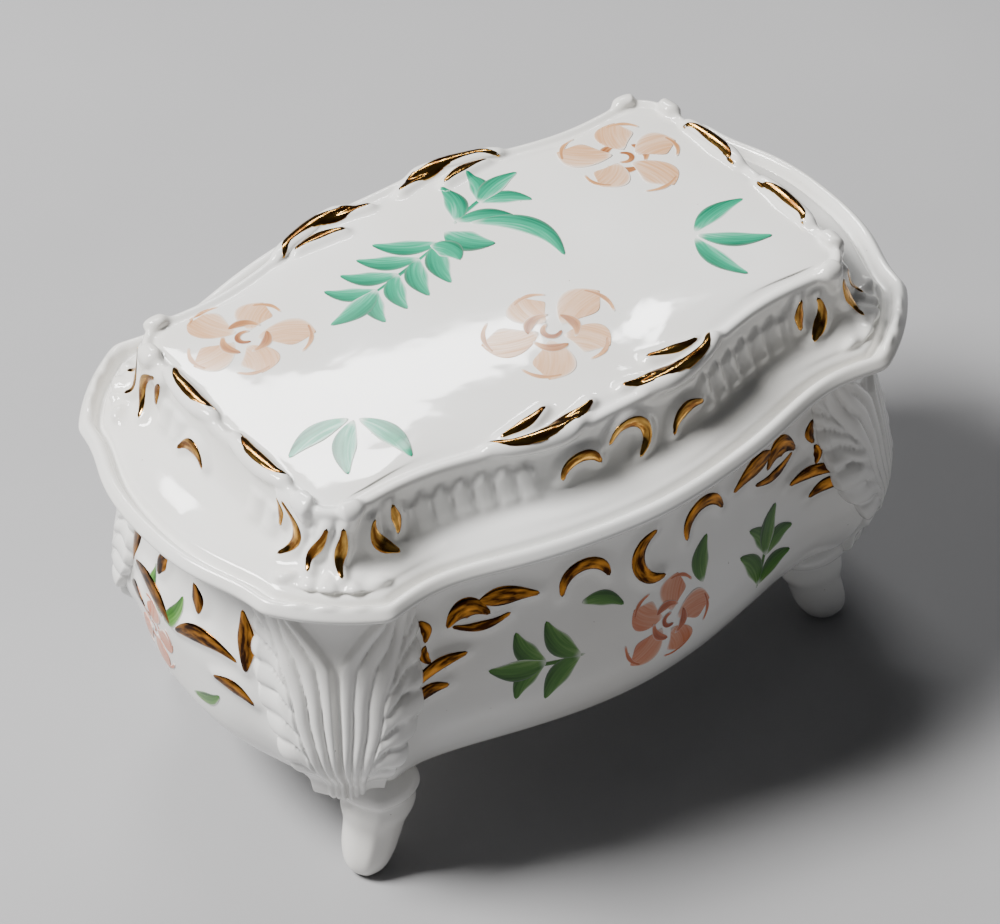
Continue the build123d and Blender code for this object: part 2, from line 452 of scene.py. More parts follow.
def body_gold(tree):
    """Gilding of the body: flourishes towards the corners, scrolls in the middle."""
    quarter = [
        put(tree, "front", bow((-44, 63), (-35, 63.5), 3.4, 2.2)),
        put(tree, "front", bow((-37, 67), (-24.5, 65), 0.8, 2.0, 0.35)),
        put(tree, "front", bow((-43, 63), (-31, 62.5), -1.6, 1.0)),
        put(tree, "front", bow((-50, 67), (-49.5, 61.5), 1.4, 1.1)),
        put(tree, "front", bow((-49.5, 61), (-49, 56.5), -1.2, 1.0)),
        put(tree, "front", bow((-58, 51), (-41, 56), 1.4, 1.3, 0.65)),
        put(tree, "front", bow((-58, 48), (-46, 50), 1.6, 1.4, 0.6)),
        put(tree, "end", bow((-1, 53), (-19, 55.5), -2.6, 1.8, 0.4)),
        put(tree, "end", bow((-18.5, 68), (-21, 54), -0.6, 2.0)),
        put(tree, "end", bow((-5, 67), (-7.5, 61), -0.6, 1.6)),
        put(tree, "end", bow((-13, 48.5), (-23, 46), -1.4, 1.5)),
    ]
    middle = [
        put(tree, "front", scroll((-14, 63), 6, 185, 5, 1.3)),
        put(tree, "front", scroll((3, 62.5), 6.2, 90, 275, 1.4)),
        put(tree, "front", scroll((16, 63), 6, 190, 10, 1.3)),
    ]
    return four_ways(quarter) + both_ways(middle)


# Moulded ribs at one corner of the lid, mirrored to the other three: points as
# x, y, z and half width, and how high the rib stands.
LID_RIBS = [
    ([(-66.5, -28.5, 98.0, 1.0), (-68.5, -31.5, 92.0, 0.8),
      (-70.5, -32.5, 87.5, 0.9), (-75.0, -30.5, 84.9, 0.7)], 1.0),
    ([(-60.0, -36.6, 98.0, 1.0), (-60.5, -39.5, 91.0, 0.8),
      (-60.5, -42.5, 87.0, 0.9), (-57.0, -46.0, 84.6, 0.7)], 1.0),
    ([(-66.3, -29.0, 98.4, 1.2), (-66.2, -27.6, 98.4, 1.2)], 1.1),
    ([(-60.0, -36.0, 98.4, 1.2), (-59.0, -36.3, 98.4, 1.2)], 1.1),
    ([(-64.0, -34.0, 94.0, 0.3), (-67.0, -37.5, 86.5, 0.8), (-70.5, -42.5, 84.0, 1.4)], 0.7),
    ([(-66.0, -32.0, 93.0, 0.3), (-70.0, -35.5, 86.3, 0.7), (-74.5, -38.5, 84.0, 1.2)], 0.6),
    ([(-61.5, -36.5, 93.0, 0.3), (-64.0, -41.5, 86.3, 0.7), (-65.5, -46.5, 84.0, 1.2)], 0.6),
    ([(-47.0, -38.5, 95.0, 0.5), (-46.0, -41.0, 89.0, 0.6), (-42.5, -43.5, 86.0, 0.6)], 0.5),
]


# ---- build ------------------------------------------------------------------
# Corner of the box in each quadrant: the spoke down its middle.
CORNER_SPOKE = LONG_SPOKES + CANT_SPOKES // 2
CORNERS = {
    "back_right": CORNER_SPOKE,
    "front_right": 2 * QUARTER_SPOKES - CORNER_SPOKE,
    "front_left": 2 * QUARTER_SPOKES + CORNER_SPOKE,
    "back_left": 4 * QUARTER_SPOKES - CORNER_SPOKE,
}
SINK = 0.35                 # how deep the underside of a stroke lies in the glaze
STROKE_EASE = 14            # passes that ease a stroke over the relief below it
GOLD_WIDENING = 1.15        # gold flows a little wider than the brush


def make_mesh(name, points, faces, layers=None):
    """Make a smooth object from millimetre points, faces outwards."""
    points = np.asarray(points, float)
    mesh = bpy.data.meshes.new(name)
    mesh.from_pydata((points * MM).tolist(), [], faces)
    mesh.polygons.foreach_set("use_smooth", [True] * len(mesh.polygons))
    for label, values in (layers or {}).items():
        layer = mesh.attributes.new(label, "FLOAT_VECTOR", "POINT")
        layer.data.foreach_set("vector", np.asarray(values, float).ravel())
    mesh.update()
    piece = bpy.data.objects.new(name, mesh)
    bpy.context.scene.collection.objects.link(piece)
    return piece


def grid_faces(rows, columns, start=0, wrap_rows=False, wrap_columns=True):
    """Quads of a grid of points, as index lists."""
    faces = []
    last_row = rows if wrap_rows else rows - 1
    last_column = columns if wrap_columns else columns - 1
    for i in range(last_row):
        upper = start + i * columns
        lower = start + (i + 1) % rows * columns
        for j in range(last_column):
            k = (j + 1) % columns
            faces.append((upper + j, upper + k, lower + k, lower + j))
    return faces


def closed_form(name, grid):
    """A vessel form: rings of points closed with a small fan at either end."""
    rows, columns, _ = grid.shape
    points = np.vstack([grid.reshape(-1, 3), grid[0].mean(axis=0), grid[-1].mean(axis=0)])
    faces = grid_faces(rows, columns)
    first = rows * columns
    last_row = first - columns
    for j in range(columns):
        k = (j + 1) % columns
        faces.append((first, k, j))
        faces.append((first + 1, last_row + j, last_row + k))
    return make_mesh(name, points, outwards(points, faces))


def outwards(points, faces):
    """The faces of a closed form, turned over if they look inwards."""
    points = np.asarray(points)
    volume = 0.0
    for size in (3, 4):
        some = np.array([face for face in faces if len(face) == size])
        if len(some):
            for k in range(1, size - 1):
                a, b, c = points[some[:, 0]], points[some[:, k]], points[some[:, k + 1]]
                volume += np.einsum("ij,ij->i", a, np.cross(b, c)).sum()
    return faces if volume > 0 else [tuple(reversed(face)) for face in faces]


def surface_tree(grid):
    """Search tree over a grid of points, with normals looking outwards."""
    rows, columns, _ = grid.shape
    points = grid.reshape(-1, 3)
    faces = outwards(points, grid_faces(rows, columns))
    return BVHTree.FromPolygons([tuple(p) for p in points], faces)


def mirrored(stroke, mirror_x, mirror_y):
    """The stroke in another quadrant of the box."""
    return [(x * mirror_x, y * mirror_y) + tuple(rest) for x, y, *rest in stroke]


def both_ways(strokes):
    """Each stroke and its copy half a turn round the box."""
    return strokes + [mirrored(stroke, -1, -1) for stroke in strokes]


def four_ways(strokes):
    """Each stroke in all four quadrants of the box."""
    return both_ways(strokes + [mirrored(stroke, -1, 1) for stroke in strokes])


def centre_line(stroke, spacing=0.6):
    """Evenly spaced points along a stroke, with half widths and distances."""
    stroke = np.array(stroke, float)
    stops = chords(stroke[:, :3])
    count = max(8, int(stops[-1] / spacing) + 1)
    line = cubic(stroke, stops, np.linspace(0, stops[-1], count))
    line[:, 3] = np.maximum(line[:, 3], 0.15)
    return line, np.linspace(0, stops[-1], count)


def raise_round(grid, strokes, height, skirt, lift):
    """Raise lift so that a soft mound stands under each stroke."""
    for stroke in strokes:
        line, _ = centre_line(stroke, 0.8)
        reach = line[:, 3].max() + skirt
        low = line[:, :3].min(axis=0) - reach
        high = line[:, :3].max(axis=0) + reach
        near = np.all((grid > low) & (grid < high), axis=2)
        gap = np.linalg.norm(grid[near][:, None] - line[None, :, :3], axis=2) - line[None, :, 3]
        mound = height * (1 - smooth_step(0.3, skirt, gap.min(axis=1)))
        lift[near] = np.maximum(lift[near], mound)


def softened(lift, passes):
    """The relief with its sharp steps rounded off, as glaze rounds them."""
    for _ in range(passes):
        across = (np.roll(lift, 1, axis=1) + np.roll(lift, -1, axis=1)) / 2
        along = lift.copy()
        along[1:-1] = (lift[2:] + lift[:-2]) / 2
        lift = 0.5 * lift + 0.25 * across + 0.25 * along
    return lift


FLUTE_PITCH = 4.3
FLUTE_DEPTH = 1.25


def wall_flutes(grid):
    """Relief of the flutes on the steep wall between the rim and the panel."""
    x, y, z = np.abs(grid[..., 0]), np.abs(grid[..., 1]), grid[..., 2]
    along = (x - 20.0) / FLUTE_PITCH
    arch = 94.8 - 2.2 * np.abs(np.cos(math.pi * along))
    on_wall = smooth_step(85.2, 87.0, z) * (1 - smooth_step(arch - 1.2, arch, z))
    long_lobe = np.abs(np.sin(math.pi * along)) ** 0.55
    long_lobe *= 0.72 + 0.28 * np.cos(math.pi * along) ** 2
    long_window = smooth_step(18.5, 21.0, x) * (1 - smooth_step(46.5, 49.0, x)) * (y > 33.0)
    short_lobe = np.abs(np.sin(math.pi * (y - 12.0) / 5.2)) ** 0.6
    short_window = smooth_step(11.0, 12.5, y) * (1 - smooth_step(21.5, 23.0, y)) * (x > 62.0)
    return on_wall * (FLUTE_DEPTH * (long_lobe * long_window + 0.9 * short_lobe * short_window))


DOME_HEIGHT = 2.4
DOME_REACH = (66.0, 42.0)   # where the dome would come down to the panel's edge
DOME_BASE_Z = 98.15


def smooth_dome(grid):
    """Round the panel evenly, without creases towards its corners."""
    rows = int(np.argmax(np.abs(grid[:, 0, 1]) > PANEL_RING[0, 1] - 2.5))
    top = grid[:rows]
    share = np.linalg.norm(top[..., :2], axis=2) / np.linalg.norm(PANEL_RING, axis=1)
    fall_x = 1 - (top[..., 0] / DOME_REACH[0]) ** 2
    fall_y = 1 - (top[..., 1] / DOME_REACH[1]) ** 2
    even = DOME_BASE_Z + DOME_HEIGHT * np.maximum(fall_x, 0) * np.maximum(fall_y, 0)
    part = 1 - smooth_step(0.72, 0.93, share)
    top[..., 2] += part * (even - top[..., 2])


def bare_lid():
    """The lid's rings before any relief."""
    grid = section_grid(LID_SECTION)
    smooth_dome(grid)
    return grid


def lid_surface(grid, gold):
    """The lid's rings with all their relief."""
    normal = outward_normals(grid, 5, 90.0)
    lift = np.zeros(grid.shape[:2])
    for rib, height in LID_RIBS:
        for mirror_x in (1, -1):
            for mirror_y in (1, -1):
                corner_rib = [mirrored(rib, mirror_x, mirror_y)]
                raise_round(grid, corner_rib, 1.4 * height, 1.3, lift)
    raise_round(grid, gold, 1.35, 1.7, lift)
    lift = softened(lift, 3)
    lift += softened(wall_flutes(grid), 1) * (1 - smooth_step(0.15, 0.5, lift))
    above_rim = smooth_step(83.4, 84.2, grid[..., 2]) * (normal[..., 2] > -0.2)
    return grid + normal * (lift * above_rim)[..., None]


def body_surface(grid, gold):
    """The body's rings with all their relief."""
    normal = outward_normals(grid, len(grid) // 3, 50.0)
    lift = np.zeros(grid.shape[:2])
    outside = (grid[:, 0, 2] > 30.0) & (np.arange(len(grid)) < np.argmax(grid[:, 0, 2]))
    raise_round(grid, gold, 0.8, 1.8, lift)
    lift = softened(lift, 4) * outside[:, None]
    return grid + normal * lift[..., None]


def swept_ring(name, section):
    """A closed ring whose section runs right round."""
    grid = section_grid(section + section[:1])[:-1]
    rows, columns, _ = grid.shape
    points = grid.reshape(-1, 3)
    faces = grid_faces(rows, columns, wrap_rows=True)
    return make_mesh(name, points, outwards(points, faces))


LEAF_LOW_Z = 22.8
LEAF_HIGH_Z = 79.0
LEAF_OUTLINE = [
    (0.0, 14.0),
    (0.12, 14.5),
    (0.22, 16.5),
    (0.32, 20.5),
    (0.42, 26.0),
    (0.55, 29.5),
    (0.75, 31.5),
    (1.0, 33.0),
]
LEAF_LOBE_HEIGHT = 5.4
LEAF_RIBS = 3.0             # smooth ribs between the middle and the lobes
LEAF_RIB_END = 0.48         # how far across each half the smooth ribs reach


def leaf_lobes(share, z):
    """Scalloped scales on the outer part of each half of the leaf, 0 to 1."""
    curl = 3.6 * (1 - smooth_step(LEAF_RIB_END - 0.04, LEAF_RIB_END + 0.2, share))
    phase = ((z + curl + 0.8 * share) / LEAF_LOBE_HEIGHT) % 1.0
    return np.sqrt(np.abs(np.sin(math.pi * phase ** 0.75)))


def leaf_height(s, t, z, rim):
    """How far the leaf stands out: across s, up t, and how near its own edge."""
    side = np.abs(s)
    opening = np.maximum(t - 0.68, 0)
    inner = 0.015 + 2.6 * opening ** 2 / (opening + 0.06)
    share = np.clip((side - inner) / (1 - inner), 0, 1)
    share = share / (1 + 0.7 * smooth_step(0.5, 0.88, t))
    across = share / LEAF_RIB_END * LEAF_RIBS
    rib = np.sqrt(np.abs(np.sin(math.pi * across)))
    lobed = smooth_step(LEAF_RIB_END - 0.02, LEAF_RIB_END + 0.05, share)
    low = 1 - smooth_step(0.1, 0.24, t)
    relief = 0.7 + 1.15 * rib * (1 - lobed) * (1 - 0.6 * low)
    relief = relief + lobed * leaf_lobes(share, z) * 1.15 * smooth_step(0.12, 0.26, t)
    spine = 0.35 * np.exp(-((share - LEAF_RIB_END) / 0.05) ** 2) * (1 - low)
    fold = 0.25 + 0.2 * smooth_step(0.6, 1.0, side / np.maximum(inner, 0.05))
    relief = np.where(share > 0, fold + (relief + spine - fold) * smooth_step(0, 0.05, share), fold)
    lip = 1.9 * np.exp(-((t - 0.03) / 0.05) ** 2)
    edge = np.sqrt(1 - smooth_step(0.93, 1.0, rim) * 0.98)
    ends = np.sqrt(smooth_step(-0.02, 0.04, t)) * np.sqrt(1 - 0.95 * smooth_step(0.97, 1.0, t))
    return np.minimum(relief, 2.15) * edge * ends + lip * edge * ends


def corner_leaf(name, grid, spoke):
    """An acanthus leaf standing out from one canted corner of the body."""
    outside = grid[:np.argmax(grid[:, spoke, 2])]
    rows = outside[(outside[:, spoke, 2] > LEAF_LOW_Z) & (outside[:, spoke, 2] < LEAF_HIGH_Z)]
    normal = outward_normals(rows, len(rows) // 2, 50.0)
    up, across = 220, 131
    stops = chords(rows[:, spoke])
    even = np.linspace(0, stops[-1], up)
    rows = cubic(rows, stops, even)
    normal = cubic(normal, stops, even)
    z = rows[:, spoke, 2][:, None]
    t = (z - LEAF_LOW_Z) / (LEAF_HIGH_Z - LEAF_LOW_Z)
    s = np.linspace(-1, 1, across)[None, :]
    outline = np.array(LEAF_OUTLINE)
    reach = cubic(outline[:, 1:], outline[:, 0], t[:, 0])
    scallop = leaf_lobes(np.ones_like(z), z)
    scalloped = reach + 1.6 * (scallop - 0.6) * smooth_step(0.16, 0.3, t)
    at = spoke + s * scalloped
    low = np.floor(at).astype(int)
    part = (at - low)[..., None]
    i = np.arange(up)[:, None]
    low, high = low % SPOKES, (low + 1) % SPOKES
    base = rows[i, low] * (1 - part) + rows[i, high] * part
    out = normal[i, low] * (1 - part) + normal[i, high] * part
    height = leaf_height(s * scalloped / reach, t, z, np.abs(s))
    top = base + out * height[..., None]
    bottom = base - out * 0.6
    return shell(name, [(top, bottom)])


def shell(name, sheets, layers=None):
    """One object from pairs of top and bottom sheets joined at their edges."""
    points, faces = [], []
    for top, bottom in sheets:
        rows, columns, _ = top.shape
        start = sum(len(p) for p in points)
        block = np.vstack([top.reshape(-1, 3), bottom.reshape(-1, 3)])
        count = rows * columns
        own = grid_faces(rows, columns, 0, wrap_columns=False)
        own += [tuple(count + i for i in reversed(face)) for face in own]
        edge = list(range(columns))
        edge += [i * columns + columns - 1 for i in range(1, rows)]
        edge += [count - 1 - j for j in range(1, columns)]
        edge += [i * columns for i in range(rows - 2, 0, -1)]
        for a, b in zip(edge, edge[1:] + edge[:1]):
            own.append((b, a, count + a, count + b))
        own = outwards(block - block.mean(axis=0), own)
        faces += [tuple(start + i for i in face) for face in own]
        points.append(block)
    return make_mesh(name, np.vstack(points), faces, layers)


def lay(tree, stroke, thickness, crown, across):
    """Lay one stroke on a surface: its sheets, and where each point is in it."""
    line, distance = centre_line(stroke, 0.45)
    for i in range(len(line)):
        line[i, :3] = tree.find_nearest(Vector(line[i, :3]))[0]
    for _ in range(STROKE_EASE):
        line[1:-1, :3] = (line[:-2, :3] + 2 * line[1:-1, :3] + line[2:, :3]) / 4
    ahead = np.gradient(line[:, :3], axis=0)
    length = distance[-1]
    top = np.zeros((len(line), across, 3))
    bottom = np.zeros_like(top)
    place = np.zeros_like(top)
    spread = np.sin(np.linspace(-math.pi / 2, math.pi / 2, across))
    for i, (x, y, z, half) in enumerate(line):
        middle, facing, _, _ = tree.find_nearest(Vector((x, y, z)))
        side = facing.cross(Vector(ahead[i])).normalized()
        end = min(distance[i], length - distance[i]) / half
        half = half * math.sqrt(1 - (1 - min(end, 1.0)) ** 2) + 0.02
        for j, s in enumerate(spread):
            on, out, _, _ = tree.find_nearest(middle + side * (s * half))
            dome = crown * half * math.sqrt(max(0.0, 1 - s * s))
            top[i, j] = on + out * (thickness + dome)
            bottom[i, j] = on - out * SINK
            place[i, j] = (distance[i], s * half, s)
    return top, bottom, place


def lay_gold(name, tree, strokes):
    """All the gilding of one body: low rounded strokes burnished on the glaze."""
    sheets, grain = [], []
    for number, stroke in enumerate(strokes):
        wide = [(x, y, z, GOLD_WIDENING * half) for x, y, z, half in stroke]
        top, bottom, place = lay(tree, wide, 0.07, 0.12, 9)
        sheets.append((top, bottom))
        place[..., 2] = number * 3.7
        grain += [place.reshape(-1, 3)] * 2
    return shell(name, sheets, {"grain": np.vstack(grain)})


def lay_paint(name, tree, strokes, turns):
    """All the brushwork of one colour: each point knows how much colour it has."""
    sheets, grain, ink = [], [], []
    for number, (stroke, dark_side, dark, pale) in enumerate(strokes):
        for turn in turns:
            layer = 0.02 + 0.006 * (number % 24)
            top, bottom, place = lay(tree, mirrored(stroke, turn, turn), layer, 0.0, 13)
            s = place[..., 2].copy()
            share = place[..., 0] / place[..., 0].max()
            edge = (1 + dark_side * s) / 2 if dark_side else 1 - s * s
            tint = pale + (dark - pale) * edge ** (1.5 if dark_side else 1.0)
            tint = 0.12 + 0.88 * tint * (0.6 + 0.4 * smooth_step(0.0, 0.55, share))
            cover = 1 - 0.6 * smooth_step(0.8, 1.0, np.abs(s)) * (1 - 0.8 * edge)
            cover = cover * smooth_step(-0.05, 0.14, share)
            place[..., 2] = number * 3.7
            sheets.append((top, bottom))
            grain += [place.reshape(-1, 3)] * 2
            ink += [np.stack([tint, cover, s], axis=-1).reshape(-1, 3)] * 2
    return shell(name, sheets, {"grain": np.vstack(grain), "ink": np.vstack(ink)})


# Toe of each foot; the feet are set by hand, so they differ a little.
FOOT_TIPS = {
    "front_left": (-63.0, -36.2),
    "front_right": (59.6, -33.0),
    "back_left": (-61.4, 34.6),
    "back_right": (61.4, 34.6),
}
# Foot sections from the top down: height, distance of the centre from the toe
# towards the middle of the long side, half width and half depth.
FOOT_SECTION = [
    (28.5, 3.6, 5.0, 4.8),
    (26.6, 3.8, 6.8, 6.4),
    (24.8, 4.1, 8.0, 7.6),
    (23.3, 4.3, 8.6, 8.2),
    (22.3, 4.4, 8.6, 8.2),
    (21.5, 4.4, 8.1, 7.8),
    (18.0, 4.0, 7.9, 7.5),
    (13.5, 3.0, 6.8, 6.5),
    (9.0, 1.7, 6.2, 6.1),
    (5.0, 0.7, 5.6, 5.7),
    (2.2, 0.1, 4.6, 4.8),
    (0.7, 0.0, 3.5, 3.7),
    (0.0, 0.0, 2.0, 2.2),
    (0.0, 0.0, 0.4, 0.4),
]


def foot(name, tip, mirror_x, mirror_y):
    """A cabriole foot: a ring under the leaf, a ridge down the front, a round toe."""
    stations = np.array(FOOT_SECTION)
    stops = chords(stations)
    rows = cubic(stations, stops, np.linspace(0, stops[-1], 90))
    rows[:, 0] = np.maximum(rows[:, 0], 0.0)
    outward = Vector((RIM[CORNER][1], RIM[CORNER - 1][1])).normalized()
    outward = np.array([outward.x * mirror_x, outward.y * mirror_y])
    sideways = np.array([-outward[1], outward[0]])
    angle = np.linspace(0, 2 * math.pi, 112, endpoint=False)
    ridge = 1 + 0.05 * np.exp(-((angle + math.pi) % (2 * math.pi) - math.pi) ** 2 / 0.08)
    grid = np.zeros((len(rows), len(angle), 3))
    for i, (height, set_back, half_width, half_depth) in enumerate(rows):
        centre = np.array(tip) - np.array([mirror_x * set_back, 0.0])
        power = 1.85 + 0.2 * (1 - smooth_step(2.0, 9.0, height))
        square = (np.abs(np.cos(angle)) ** power + np.abs(np.sin(angle)) ** power) ** (-1 / power)
        depth = (np.cos(angle) * square * ridge * half_depth)[:, None]
        width = (np.sin(angle) * square * half_width)[:, None]
        grid[i, :, :2] = centre + depth * outward + width * sideways
        grid[i, :, 2] = height
    return closed_form(name, grid)


# ---- finishes ---------------------------------------------------------------
def new_material(name):
    """An empty node material: its nodes, its links and its main shader."""
    material = bpy.data.materials.new(name)
    material.use_nodes = True
    nodes = material.node_tree.nodes
    return material, nodes, material.node_tree.links, nodes["Principled BSDF"]


def noise(nodes, links, scale, detail, vector=None):
    """A noise texture, on the object's own coordinates unless told otherwise."""
    texture = nodes.new("ShaderNodeTexNoise")
    texture.inputs["Scale"].default_value = scale
    texture.inputs["Detail"].default_value = detail
    if vector is None:
        vector = nodes.new("ShaderNodeTexCoord").outputs["Object"]
    links.new(vector, texture.inputs["Vector"])
    return texture.outputs["Fac"]


def span(nodes, links, value, low, high, new_low, new_high):
    """Map a value from one range to another, clamped."""
    node = nodes.new("ShaderNodeMapRange")
    node.inputs["From Min"].default_value = low
    node.inputs["From Max"].default_value = high
    node.inputs["To Min"].default_value = new_low
    node.inputs["To Max"].default_value = new_high
    links.new(value, node.inputs["Value"])
    return node.outputs["Result"]


def blend(nodes, links, share, first, second):
    """Mix two colours; each is a colour or another node's output."""
    node = nodes.new("ShaderNodeMix")
    node.data_type = "RGBA"
    links.new(share, node.inputs["Factor"])
    for socket, colour in ((node.inputs[6], first), (node.inputs[7], second)):
        if isinstance(colour, tuple):
            socket.default_value = colour + (1.0,)
        else:
            links.new(colour, socket)
    return node.outputs[2]


def bump(nodes, links, height, strength, distance):
    """A bump normal from a height."""
    node = nodes.new("ShaderNodeBump")
    node.inputs["Strength"].default_value = strength
    node.inputs["Distance"].default_value = distance
    links.new(height, node.inputs["Height"])
    return node.outputs["Normal"]


def layer_of(nodes, name):
    """Read a point layer of the mesh: its vector and its separate parts."""
    attribute = nodes.new("ShaderNodeAttribute")
    attribute.attribute_name = name
    parts = nodes.new("ShaderNodeSeparateXYZ")
    return attribute.outputs["Vector"], parts


GLAZE_WARM = (0.80, 0.785, 0.75)
GLAZE_COOL = (0.86, 0.86, 0.845)


def glaze_colour(nodes, links):
    """The colour of the white glaze, warmer in slow drifts."""
    drift = span(nodes, links, noise(nodes, links, 22.0, 3.0), 0.35, 0.65, 0.0, 1.0)
    return blend(nodes, links, drift, GLAZE_WARM, GLAZE_COOL)


def porcelain(name):
    """White glazed porcelain: glossy, faintly wavy, with a rare dark speck."""
    material, nodes, links, shader = new_material(name)
    specks = span(nodes, links, noise(nodes, links, 900.0, 1.0), 0.80, 0.84, 0.0, 0.6)
    colour = blend(nodes, links, specks, glaze_colour(nodes, links), (0.25, 0.22, 0.19))
    links.new(colour, shader.inputs["Base Color"])
    rough = span(nodes, links, noise(nodes, links, 60.0, 4.0), 0.3, 0.7, 0.03, 0.07)
    links.new(rough, shader.inputs["Roughness"])
    links.new(bump(nodes, links, noise(nodes, links, 90.0, 2.0), 0.12, 0.0006), shader.inputs["Normal"])
    shader.inputs["IOR"].default_value = 1.52
    return material


def gilding(name, burnt_and_dark_reflection, full):
    """Burnished gold, streaked along each stroke between a brown tone and bright gold; the brown is
    partly burnt, patchy gold and partly painted dark reflection.
    """
    material, nodes, links, shader = new_material(name)
    vector, _ = layer_of(nodes, "grain")
    stretch = nodes.new("ShaderNodeVectorMath")
    stretch.operation = "MULTIPLY"
    stretch.inputs[1].default_value = (0.22, 0.85, 1.0)
    links.new(vector, stretch.inputs[0])
    streaks = noise(nodes, links, 1.0, 4.0, stretch.outputs["Vector"])
    # The streaks set the brown tone, partly burnt gold and partly painted dark reflection, against
    # bright gold.
    share = span(nodes, links, streaks, 0.40, 0.72, 0.0, 1.0)
    links.new(blend(nodes, links, share, burnt_and_dark_reflection, full), shader.inputs["Base Color"])
    shader.inputs["Metallic"].default_value = 1.0
    rough = span(nodes, links, streaks, 0.3, 0.7, 0.22, 0.10)
    links.new(rough, shader.inputs["Roughness"])
    links.new(bump(nodes, links, streaks, 0.2, 0.0004), shader.inputs["Normal"])
    return material


def enamel(name, pale, middle, dark):
    """On-glaze brushwork: three tones by how much colour the brush left."""
    material, nodes, links, shader = new_material(name)
    vector, _ = layer_of(nodes, "grain")
    stretch = nodes.new("ShaderNodeVectorMath")
    stretch.operation = "MULTIPLY"
    stretch.inputs[1].default_value = (0.10, 2.2, 1.0)
    links.new(vector, stretch.inputs[0])
    streaks = noise(nodes, links, 1.0, 3.0, stretch.outputs["Vector"])
    ink_vector, parts = layer_of(nodes, "ink")
    links.new(ink_vector, parts.inputs["Vector"])
    shift = nodes.new("ShaderNodeMath")
    shift.operation = "ADD"
    links.new(parts.outputs["X"], shift.inputs[0])
    links.new(span(nodes, links, streaks, 0.3, 0.7, -0.16, 0.16), shift.inputs[1])
    ink = shift.outputs["Value"]
    tone = blend(nodes, links, span(nodes, links, ink, 0.0, 0.5, 0.0, 1.0), pale, middle)
    tone = blend(nodes, links, span(nodes, links, ink, 0.5, 1.0, 0.0, 1.0), tone, dark)
    colour = blend(nodes, links, parts.outputs["Y"], glaze_colour(nodes, links), tone)
    links.new(colour, shader.inputs["Base Color"])
    rough = span(nodes, links, streaks, 0.3, 0.7, 0.10, 0.20)
    links.new(rough, shader.inputs["Roughness"])
    shader.inputs["Specular IOR Level"].default_value = 0.28
    return material


def floor_finish():
    """Plain pale studio floor with the faintest mottle."""
    material, nodes, links, shader = new_material("studio_floor")
    share = span(nodes, links, noise(nodes, links, 6.0, 4.0), 0.3, 0.7, 0.0, 1.0)
    mottle = blend(nodes, links, share, (0.34, 0.34, 0.35), (0.38, 0.38, 0.39))
    links.new(mottle, shader.inputs["Base Color"])
    shader.inputs["Roughness"].default_value = 0.7
    return material


# ---- studio -----------------------------------------------------------------
def area_light(name, place, target, size_x, size_y, power, colour):
    """A soft rectangular light, in metres, facing its target."""
    light = bpy.data.lights.new(name, "AREA")
    light.shape = "RECTANGLE"
    light.size = size_x
    light.size_y = size_y
    light.energy = power
    light.color = colour
    lamp = bpy.data.objects.new(name, light)
    lamp.location = place
    lamp.rotation_euler = (Vector(target) - Vector(place)).to_track_quat("-Z", "Y").to_euler()
    bpy.context.scene.collection.objects.link(lamp)
    return lamp


def studio():
    """Pale floor, soft light from the upper left and a strip behind the lid."""
    size = 3.0
    mesh = bpy.data.meshes.new("floor")
    corners = [(-size, -size, 0), (size, -size, 0), (size, size, 0), (-size, size, 0)]
    mesh.from_pydata(corners, [], [(0, 1, 2, 3)])
    floor = bpy.data.objects.new("floor", mesh)
    bpy.context.scene.collection.objects.link(floor)
    mesh.materials.append(floor_finish())
    world = bpy.data.worlds.new("studio")
    world.use_nodes = True
    world.node_tree.nodes["Background"].inputs["Color"].default_value = (0.80, 0.83, 0.88, 1.0)
    world.node_tree.nodes["Background"].inputs["Strength"].default_value = 0.05
    bpy.context.scene.world = world
    area_light("key", (-0.75, 0.42, 1.25), (0, 0, 0.07), 0.5, 0.5, 54.0, (1.0, 0.99, 0.97))
    area_light("window", (0.369, 0.83, 1.03), (0, 0, 0.1), 0.42, 0.115, 5.5, (1.0, 1.0, 1.0))
    area_light("glint", (0.62, 0.67, 1.02), (0, 0, 0.1), 0.03, 0.08, 0.35, (1.0, 1.0, 1.0))
    area_light("fill", (0.9, -1.1, 0.9), (0, 0, 0.05), 1.2, 1.2, 0.25, (1.0, 0.97, 0.93))


# Camera: azimuth from the front towards the left, height angle, roll, distance
# from the middle of the rim, and how far that middle is off the picture centre.
CAMERA_AZIMUTH = -33.1
CAMERA_ELEVATION = 40.5
CAMERA_ROLL = -3.2
CAMERA_DISTANCE = 1.040
CAMERA_LENS = 180.0
SENSOR = 36.0
OFF_CENTRE = (-0.00057, 0.0206)


def camera():
    """The camera, aimed a little below the rim's middle, with a slight roll."""
    azimuth = math.radians(CAMERA_AZIMUTH)
    elevation = math.radians(CAMERA_ELEVATION)
    roll = math.radians(CAMERA_ROLL)
    back = Vector((
        math.sin(azimuth) * math.cos(elevation),
        -math.cos(azimuth) * math.cos(elevation),
        math.sin(elevation),
    ))
    level = Vector((math.cos(azimuth), math.sin(azimuth), 0.0))
    upright = back.cross(level)
    right = level * math.cos(roll) + upright * math.sin(roll)
    up = upright * math.cos(roll) - level * math.sin(roll)
    view = (-back - right * OFF_CENTRE[0] - up * OFF_CENTRE[1]).normalized()
    right = view.cross(up).normalized()
    up = right.cross(view)
    data = bpy.data.cameras.new("camera")
    data.lens = CAMERA_LENS
    data.sensor_width = SENSOR
    data.clip_end = 20.0
    eye = bpy.data.objects.new("camera", data)
    place = Vector((0, 0, RIM_Z * MM)) + back * CAMERA_DISTANCE
    matrix = eye.matrix_world.copy()
    for i in range(3):
        matrix[i][0], matrix[i][1], matrix[i][2] = right[i], up[i], -view[i]
        matrix[i][3] = place[i]
    eye.matrix_world = matrix
    bpy.context.scene.collection.objects.link(eye)
    bpy.context.scene.camera = eye


